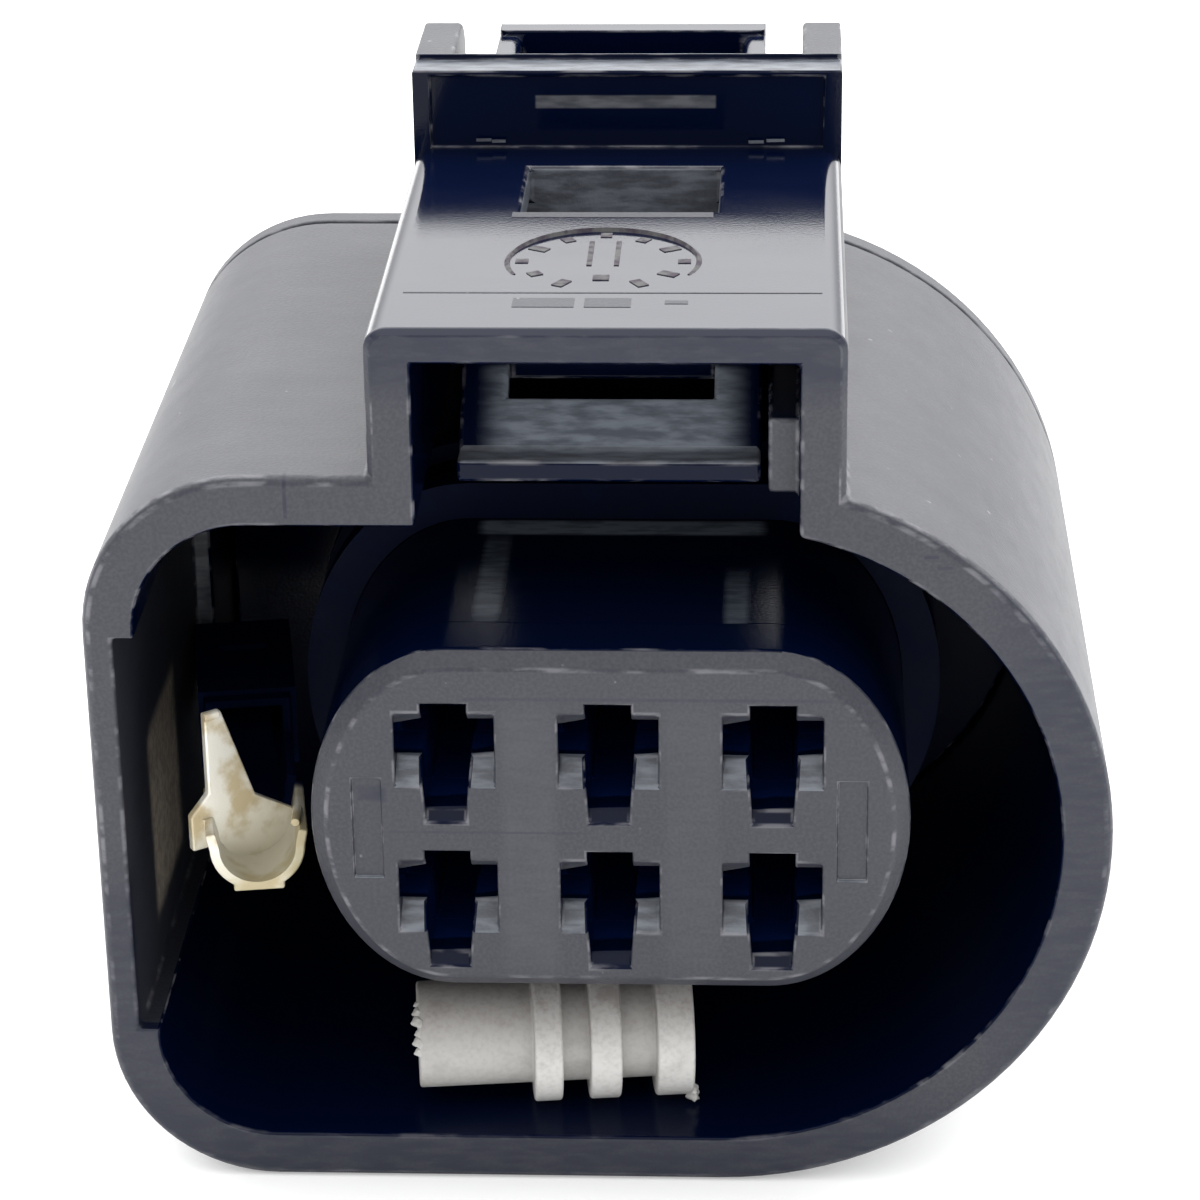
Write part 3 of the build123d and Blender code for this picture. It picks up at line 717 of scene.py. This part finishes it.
# %% Block
CAVITIES = [("X", -6.9, 6.9, 0.3), ("Z", -4.7, 4.5, 0.3), ("Y", 1.3, 22.0, 0.3)]
CAVITY_SHADE_NAVY = grey(0.012, NAVY)
BLOCK_TOP = ("Z", 5.5, 6.5, 0.2)
BLOCK_OPEN, BLOCK_REAR = 3.0, 24.0


def block_sheen(p, normal):
    return POLISHED_IN_SHADE if p.y < BLOCK_REAR else PLAIN


def block_round(p):
    return 0.12 if p.y > BLOCK_OPEN else 0.0


block_painted_light_and_shade = [
    # Painted shade in the cavities, then a painted highlight band and two painted light streaks on
    # the block's top.
    (CAVITIES, CAVITY_SHADE_NAVY, 1.6),
    ([("X", -4.2, 4.4, 0.5), ("Y", 9.5, 10.3, 0.3), BLOCK_TOP], PAINTED_GLEAM, 1.2),
    ([("X", -4.1, -3.6, 0.3), ("Y", 3.5, 8.5, 1.5), BLOCK_TOP], PAINTED_GLEAM, 0.35),
    ([("X", 3.65, 4.05, 0.3), ("Y", 2.5, 5.5, 1.5), BLOCK_TOP], PAINTED_GLEAM, 0.3)]
core = rounded("terminal_block", block_round)
set_marks(core, SHEEN, block_sheen)
block = piece("block_core", core, "housing",
              moulded_plastic("block_plastic", block_painted_light_and_shade), ["terminal_block"])

# %% [markdown]
# ## The release lever
# The lever rocks under the guard. It is polished and dark like the space around it, partly as
# painted shade, but for what hands and light reach: its hook's upper edge, painted pale as a
# highlight, the ramp, where the guard's window lets light down, and the press pad's rim. The
# ramp's dull, paler middle is a painted highlight in a soft box, because the ramp is one flat face
# and a mark would change all of it.

# %% Lever
HOOK_BACK, RAMP_FRONT, RAMP_BACK = 4.2, 3.6, 8.0
PAD_FRONT, PAD_LOW, PAD_SIDE = 19.8, 15.2, 3.9
ROUND_FROM_Y, ROUND_FROM_Z = 19.5, 17.5


def lever_sheen(p, normal):
    # The hook's upper edge is painted pale as a highlight.
    if p.y < HOOK_BACK and normal.z > 0.5:
        return PALE_PAINTED_LIGHT
    on_ramp = RAMP_FRONT < p.y < RAMP_BACK and normal.z > 0.3
    on_rim = p.y > PAD_FRONT and (p.z > PAD_LOW or abs(p.x) > PAD_SIDE)
    return SATIN if on_ramp or (on_rim and not normal.y < -0.5) else POLISHED_IN_SHADE


def lever_round(p):
    """The press pad's upper edges are rounder than the rest."""
    return 0.35 if p.z > ROUND_FROM_Z and p.y > ROUND_FROM_Y else 0.16


# A painted highlight on the ramp's middle.
ramp_painted_highlight = [([("X", -2.9, 3.1, 1.3), ("Y", 3.9, 5.6, 0.8), ("Z", 10.5, 13.0, 0.2)],
                grey(0.32, (0.85, 0.95, 1.1)), 0.9)]
rocker = rounded("release_lever", lever_round, segments=3)
set_marks(rocker, SHEEN, lever_sheen)
lever = piece("lever_rocker", rocker, "lever",
              moulded_plastic("lever_plastic", ramp_painted_highlight), ["release_lever"])

# %% [markdown]
# ## Front retainer
# The retainer's face is matte with a broad rounded edge. Soft pale bands of painted sheen run
# between the columns, the lead-in bevels under the level slots are painted bright as highlights
# where they face the light, and a fine line crosses above the top row. Raised strips could make
# them, but they are differences of sheen on one flat face, so the finish draws them. Its
# cavities are painted navy as shade, and what lies behind the face is polished and dark, partly
# as painted shade.

# %% Front retainer
FACE_DEPTH = 0.9
FACE_TOP = 5.0
COLUMNS, SLOT_HALF = (-5.0, 0.0, 5.0), 0.85
SLOT_ROOM, EDGE_ROOM = 0.8, 0.9
FRONT = ("Y", -0.1, 0.05, 0.1)


def outline_room(x, z):
    """Distance from the edge of the retainer's oval, roughly, in millimetres."""
    half_flat, half_height, middle, squash = 4.9, 5.78, 0.2, 1.34
    return half_height - hypot(max(abs(x) - half_flat, 0) * squash, z - middle)


def retainer_sheen(p, normal):
    if p.y > FACE_DEPTH or (normal.z > 0.8 and p.z > FACE_TOP):
        return POLISHED_IN_SHADE
    # The lead-in bevels, but for the slots' feet, are painted pale as highlights.
    if normal.z > 0.3 and outline_room(p.x, p.z) > SLOT_ROOM:
        slot_foot = min(abs(p.x - column) for column in COLUMNS) < SLOT_HALF
        return POLISHED_IN_SHADE if slot_foot else PALE_PAINTED_LIGHT
    return PLAIN


def retainer_round(p):
    if p.y > FACE_DEPTH:
        return 0.0
    return 0.3 if outline_room(p.x, p.z) < EDGE_ROOM else 0.10


face_stains_and_painted_light = [
    (CAVITIES, CAVITY_SHADE_NAVY, 1.6),
    # Two bands of painted sheen between the columns.
    ([("X", -3.0, -1.9, 0.5), ("Z", -4.0, 3.5, 1.5), FRONT], PALE_PLASTIC, 0.3),
    ([("X", 2.0, 3.1, 0.5), ("Z", -4.0, 3.5, 1.5), FRONT], PALE_PLASTIC, 0.2),
    ([("X", -4.1, 6.4, 0.6), ("Z", 4.50, 4.52, 0.08), FRONT], DARK_PLASTIC, 0.6),
    ([("X", -6.4, -1.2, 0.8), ("Z", -0.03, 0.0, 0.05), FRONT], DARK_PLASTIC, 0.5),
    ([("X", -7.6, -6.95, 0.2), ("Z", 1.1, 1.4, 0.2), ("Y", -0.1, 0.3, 0.1)], DARK_PLASTIC, 1.0)]
face = rounded("front_retainer", retainer_round, segments=3)
set_marks(face, SHEEN, retainer_sheen)
retainer = piece("retainer_face", face, "retainer",
                 moulded_plastic("retainer_plastic", face_stains_and_painted_light), ["front_retainer"])

# %% [markdown]
# ## The date stamp
# A moulded part carries the date insert of its tool: a shallow round stamp with a pointer
# between plain ticks. A bump map could draw it, but the exported mesh would lose it, so it is
# real relief: ticks a few hundredths of a millimetre high, and round most of them the insert's
# edge, an arc that is a little higher in its middle.

# %% Date stamp
RING_X, RING_Y, RING_RADIUS = -0.3, 7.4, 2.95
ARC_START, ARC_SWEEP, ARC_STEPS = -25, 230, 44
ARC_HEIGHT, ARC_SINK = 0.13, 0.02
LONG_HOURS, LONG_TICK, SHORT_TICK = (1, 5, 8, 10, 11), 0.6, 0.4
TICK_WIDTH, TICK_HEIGHT = 0.36, 0.05
FOOT_HOUR = 9
POINTER_HALF, POINTER_SIZE = 0.42, (0.16, 2.3, 0.05)
FOOT_SIZE = (0.5, 0.45, 0.06)


def slab(bm, middle, size, turn=0.0):
    """Adds a box with its middle and size in millimetres, turned about Z."""
    place = Matrix.Translation(Vector(middle) * MM) @ Matrix.Rotation(turn, 4, "Z")
    shape = Matrix.Diagonal([s * MM for s in size] + [1])
    bmesh.ops.create_cube(bm, size=1.0, matrix=place @ shape)


def loft(bm, sections):
    """Joins equal rings of points, in millimetres, and closes both ends."""
    rows = [[bm.verts.new(Vector(p) * MM) for p in section] for section in sections]
    for one, two in zip(rows, rows[1:]):
        for i in range(len(one)):
            bm.faces.new((one[i - 1], one[i], two[i], two[i - 1]))
    bm.faces.new(rows[0][::-1])
    bm.faces.new(rows[-1])
    bmesh.ops.recalc_face_normals(bm, faces=bm.faces)


def on_ring(radius, turn, height=0.0):
    """A point of the stamp, by its distance from the ring's middle and its turn about it."""
    return RING_X + radius * cos(turn), RING_Y + radius * sin(turn), GUARD_TOP + height


def arc_section(step):
    """The arc's section at a step: a low wall that leans out and fades at both ends."""
    turn = radians(ARC_START + ARC_SWEEP * step / ARC_STEPS)
    tall = ARC_HEIGHT * sin(pi * (step + 0.5) / (ARC_STEPS + 1)) ** 0.5
    profile = ((-0.10, -ARC_SINK), (-0.04, tall), (-0.02, tall), (0.12, -ARC_SINK))
    return [on_ring(RING_RADIUS + out, turn, height) for out, height in profile]


def dull_plastic():
    finish = new_finish("stamped_plastic")
    blotches = finish.speckle(3.0, detail=4.0)
    tone = finish.blend(blotches.ramp(0.35, 0.65), grey(0.05, (1.1, 0.9, 1.2)), grey(0.11))
    return finish.end(finish.principled(Base_Color=tone, Roughness=0.75 + blotches * 0.15, IOR=1.22,
                                        Normal=finish.bump(blotches, 0.01)))


stamp = bmesh.new()
loft(stamp, [arc_section(step) for step in range(ARC_STEPS + 1)])
for hour in range(12):
    if hour != FOOT_HOUR:
        turn, long = radians(hour * 30), LONG_TICK if hour in LONG_HOURS else SHORT_TICK
        reach = 2.35 if hour % 3 else 2.5
        slab(stamp, on_ring(reach, turn), (long, TICK_WIDTH, TICK_HEIGHT), turn)
for pointer_x in (-POINTER_HALF, POINTER_HALF):
    slab(stamp, (RING_X + pointer_x, RING_Y + 0.75, GUARD_TOP), POINTER_SIZE)
slab(stamp, (RING_X, RING_Y - 1.55, GUARD_TOP), FOOT_SIZE)
date_stamp = piece("date_stamp", stamp, "housing", dull_plastic())

# %% [markdown]
# ## Bars and flash on the guard
# Two bars, a dash and a parting line lie in front of the stamp, and a low step in front of the
# window. Small chips of flash stick to the foot of the wall, and their pale tone is a painted
# glint. They could be part of the solid, but they stand off it by less than a tenth of a
# millimetre, so thin slabs in the housing's plastic are laid on instead.

# %% Bars and flash
BAR_HEIGHT = 0.025
BARS = ((-2.85, -1.0, 3.2, 4.0), (-0.7, 0.7, 3.2, 4.0), (1.7, 2.4, 3.5, 3.8),
        (-6.2, 6.4, 4.46, 4.54), (-3.4, 3.0, 11.7, 12.2))
CHIPS = ((-4.8, 0.5, 0.32), (-4.3, 0.45, 0.28), (4.3, 0.5, 0.25), (4.95, 0.6, 0.3))
CHIP_DEPTH, CHIP_HEIGHT, CHIP_TURN = 0.12, 0.07, 0.05

bars = bmesh.new()
for left, right, front, rear in BARS:
    slab(bars, ((left + right) / 2, (front + rear) / 2, GUARD_TOP),
         (right - left, rear - front, BAR_HEIGHT))
set_marks(bars, SHEEN, lambda p, normal: PLAIN)
guard_bars = piece("guard_bars", bars, "housing", housing_plastic)

chips = bmesh.new()
for middle_x, length, lift in CHIPS:
    slab(chips, (middle_x, WALL_Y - 0.02, GUARD_TOP + lift),
         (length, CHIP_DEPTH, CHIP_HEIGHT), CHIP_TURN)
# Painted glints: the chips take the pale tone.
set_marks(chips, SHEEN, lambda p, normal: PALE_PAINTED_LIGHT)
flash_chips = piece("flash_chips", chips, "housing", housing_plastic)

# %% [markdown]
# ## Silicone
# The loose cavity plug is grey-white silicone with a dusty surface, brighter on its rings, and
# its upper side is painted darker as shade under the retainer. Subsurface scattering could give
# its softness, but on a plug this small it only costs time, so a rough shader with two sizes of
# dust stands for it. The wire seals are the same stuff, and the ring seal around the block is
# near-black navy and hardly shines, partly as painted shade.

# %% Silicone
PLUG_SHADE_HEIGHTS = (-9.6, -7.2)
RING_WHITE = grey(0.66, (1, 0.99, 0.96))


def silicone(name, tone, dirt_and_shade, shade=None, index=1.42):
    """Shade is the height range, in millimetres, over which the top is painted darker as shade."""
    finish = new_finish(name)
    blotches = finish.speckle(0.9, detail=5.0)
    fine = finish.speckle(6.0)
    spread = blotches.ramp(0.5, 0.75) * 0.35 + fine.ramp(0.4, 0.7) * 0.15
    if shade:
        # Painted shade: the plug's top darkens toward the dirt tone.
        spread = spread + finish.axis("Z").ramp(*shade) * 0.75
        tone = finish.blend(finish.mark("ring"), tone, RING_WHITE)
    colour = finish.blend(spread.at_most(1.0), tone, dirt_and_shade)
    return finish.end(finish.principled(
        Base_Color=colour, Roughness=0.6 + (blotches - 0.5) * 0.2, IOR=index,
        Normal=finish.bump(fine, 0.012)))


plug_silicone = silicone("plug_silicone", grey(0.50, (1, 0.98, 0.94)), grey(0.26, (1, 0.93, 0.88)),
                         shade=PLUG_SHADE_HEIGHTS)
# The ring seal's near-black navy is partly painted shade.
seal_silicone = silicone("seal_silicone", grey(0.003, NAVY), grey(0.006, NAVY), index=1.2)
wire_silicone = silicone("wire_silicone", grey(0.45, (1, 0.98, 0.94)), grey(0.3, (1, 0.97, 0.9)))
print("silicones:", [made.name for made in (plug_silicone, seal_silicone, wire_silicone)])

# %% [markdown]
# ## The cavity plug
# The plug closes a cavity that has no wire. Its solid comes from the CAD, and its edges are
# rounded like the rest. Moulding left ragged flash on its ends. Sculpting that is slow, so a few
# small balls, pushed out of round by a sine, are set by their turn about the plug's axis.

# %% Cavity plug
PLUG_MIDDLE, PLUG_YAW = Vector((-2.1, 4.1, -9.25)), radians(6.7)
PLUG_REACH = 4.42
RING_FOOT = 1.95
LEFT_OUT = 1.58
LEFT_FLASH = ((8, 0.16), (20, 0.20), (30, 0.13), (44, 0.22), (55, 0.18), (66, 0.12))
RIGHT_FLASH = ((-52, 2.25, 0.18), (-60, 2.4, 0.22), (-70, 2.3, 0.16))


def plug_point(along, out, turn):
    """A point by its place along the plug's axis, distance from it and turn about it."""
    local = Vector((along, -out * cos(turn), out * sin(turn)))
    return PLUG_MIDDLE + Matrix.Rotation(PLUG_YAW, 3, "Z") @ local


def ring_mark(p, normal):
    local = Matrix.Rotation(-PLUG_YAW, 3, "Z") @ (p - PLUG_MIDDLE)
    return [float(hypot(local.y, local.z) > RING_FOOT)]


def lump(bm, middle, size):
    ball = bmesh.ops.create_icosphere(bm, subdivisions=2, radius=size * MM)["verts"]
    for i, vert in enumerate(ball):
        vert.co *= 1.0 + 0.25 * sin(5.1 * i)
        vert.co += middle * MM


stopper = rounded("cavity_plug", 0.10, segments=3)
set_marks(stopper, ["ring"], ring_mark)
plug = piece("plug_body", stopper, "housing", plug_silicone, ["cavity_plug"])

flash = bmesh.new()
for degrees_up, size in LEFT_FLASH:
    lump(flash, plug_point(-PLUG_REACH, LEFT_OUT, radians(degrees_up)), size)
for degrees_up, out, size in RIGHT_FLASH:
    lump(flash, plug_point(PLUG_REACH, out, radians(degrees_up)), size)
set_marks(flash, ["ring"], lambda p, normal: [0.6])
plug_flash = piece("plug_flash", flash, "housing", plug_silicone)

# %% [markdown]
# ## Metal
# Contacts are tinned sheet. The loose one has lain open: its wings are cream with tan stains,
# and its box end and its spring, deep in the collar, are painted dark as shade. Real tin mirrors,
# but here it mirrors only the dark collar, so its finish is half metal and half a pale coat. The
# seated contacts and the steel over-springs are dull and dark, painted as the shade in the
# cavities.

# %% Metal finish
CREAM, TAN = grey(0.80, (1, 0.97, 0.86)), grey(0.50, (1, 0.80, 0.44))
HONEY, BOX_SHADE_NAVY = grey(0.30, (1, 0.88, 0.5)), grey(0.004, NAVY)
BOX_END = (4.6, 5.2)
BARREL_FOOT, RIGHT_WING = (-0.8, -2.8), (-10.5, -9.7)


def sheet_metal(name, tone, dull, metal=1.0, dark_from=None):
    """Dark_from is the range of Y, in millimetres, over which the strip is painted dark as shade.
    """
    finish = new_finish(name)
    strip = finish.speckle(3.0, detail=4.0, stretch=(6, 0.4, 6))
    stain = finish.speckle(0.75, detail=5.0)
    colour = finish.blend(stain.ramp(0.44, 0.62) * 0.85, tone, dull)
    metallic = metal - stain.ramp(0.5, 0.75) * metal * 0.4
    rough = 0.28 + strip * 0.14 + stain * 0.12
    if dark_from:
        foot, wing = finish.axis("Z").ramp(*BARREL_FOOT), finish.axis("X").ramp(*RIGHT_WING)
        colour = finish.blend((foot * 0.5 + wing * 0.6).at_most(1.0), colour, HONEY)
        # Painted shade: the box end darkens and fades to a matte shader.
        dark = finish.axis("Y").ramp(*dark_from)
        colour = finish.blend(dark, colour, BOX_SHADE_NAVY)
        metallic, rough = metallic * (1.0 - dark), rough + dark * 0.4
    bright = finish.principled(Base_Color=colour, Metallic=metallic, Roughness=rough,
                               Normal=finish.bump(strip, 0.006))
    if not dark_from:
        return finish.end(bright)
    shaded_end = finish.principled(Base_Color=BOX_SHADE_NAVY, Roughness=0.8, IOR=1.15)
    return finish.end(finish.mixed(dark, bright, shaded_end))


tinned = sheet_metal("tinned_contact", CREAM, TAN, 0.4, dark_from=BOX_END)
# The loose spring is painted dark all over, as shade.
loose_steel = sheet_metal("loose_spring_steel", BOX_SHADE_NAVY, BOX_SHADE_NAVY, 0.0, dark_from=BOX_END)
# Painted shade: the seated contacts and the springs are dark copies of tin and steel.
seated_tin_in_shade = sheet_metal("seated_contact", grey(0.03, (0.4, 0.9, 2.0)),
                         grey(0.015, (0.3, 0.9, 2.4)))
steel = sheet_metal("spring_steel", grey(0.02, (0.5, 0.9, 1.8)), grey(0.012, (0.4, 0.9, 2.2)))
print("metals:", [made.name for made in (tinned, loose_steel, seated_tin_in_shade, steel)])

# %% [markdown]
# ## The loose contact
# Its sheet is sheared, so its edges get only a small radius. Two of its edges are curled over.
# A curl could be bent from the sheet itself, but it is a fifth of a millimetre wide, so a short
# round bar on the tall wing's end and one on the side wing show it.

# %% Loose contact
LOOSE_AT, LOOSE_YAW = Vector((-11.1, 1.6, -1.45)), radians(9.1)
WING_BACK, WING_TURN, WING_RISE = 2.1, radians(26), 4.1
TIP_SPAN, TIP_SINK, TIP_RADIUS = (1.1, 1.62), 0.1, 0.16
SIDE_LIP, SIDE_RADIUS = ((1.22, 0.35, 0.62), (1.36, 1.25, 0.66)), 0.15
LIP_BEVEL = 0.03


def laid(x, y, z):
    """A point of the loose contact, from its own axes to the frame, in millimetres."""
    return LOOSE_AT + Matrix.Rotation(LOOSE_YAW, 3, "Z") @ Vector((x, y, z))


def tip_point(out):
    """A point on the tall wing's end, by its distance along the wing's turned edge."""
    return laid(-out * cos(WING_TURN), WING_BACK - out * sin(WING_TURN) - TIP_SINK,
                WING_RISE - TIP_SINK)


def roll(bm, start, end, radius):
    """A short round bar between two points, in millimetres."""
    along = end - start
    turned = along.to_track_quat("Z", "Y").to_matrix().to_4x4()
    place = Matrix.Translation((start + end) / 2 * MM) @ turned
    bmesh.ops.create_cone(bm, cap_ends=True, segments=12, radius1=radius * MM,
                          radius2=radius * MM, depth=along.length * MM, matrix=place)


terminal = rounded("loose_contact", 0.07)
loose = piece("loose_terminal", terminal, "housing", tinned, ["loose_contact"])

lips = bmesh.new()
roll(lips, *[tip_point(out) for out in TIP_SPAN], TIP_RADIUS)
roll(lips, *[laid(*end) for end in SIDE_LIP], SIDE_RADIUS)
bmesh.ops.bevel(lips, geom=list(lips.edges), offset=LIP_BEVEL * MM, segments=1, affect="EDGES")
terminal_lips = piece("terminal_lips", lips, "housing", tinned)

# %% [markdown]
# ## The pieces inside
# The seated contacts, the over-springs and the seals could be rounded too, but little or nothing
# of them can be seen, so they keep their CAD meshes. They still get finishes, for whoever takes
# the part apart: the wire seals get plain silicone, the contacts and the springs are dark with
# painted shade, and the ring seal partly so. The node's name says what it is, so one loop dresses
# them all.

# %% Pieces inside
def dressing(name):
    """The finish and slot of a CAD node that is shown as it is, or nothing."""
    if name == "loose_contact_spring":
        return loose_steel, "spring_steel"
    if "spring" in name:
        return steel, "spring_steel"
    if name.startswith("contact"):
        return seated_tin_in_shade, "contact"
    if name.startswith("wire_seal"):
        return wire_silicone, "silicone"
    if name == "interface_seal":
        return seal_silicone, "seal"
    return None


dressed = []
for name, node in sorted(nodes.items()):
    if dressing(name):
        finish, slot = dressing(name)
        node.data.materials.clear()
        node.data.materials.append(finish)
        dressed.append(name)
print("dressed as they are:", dressed)
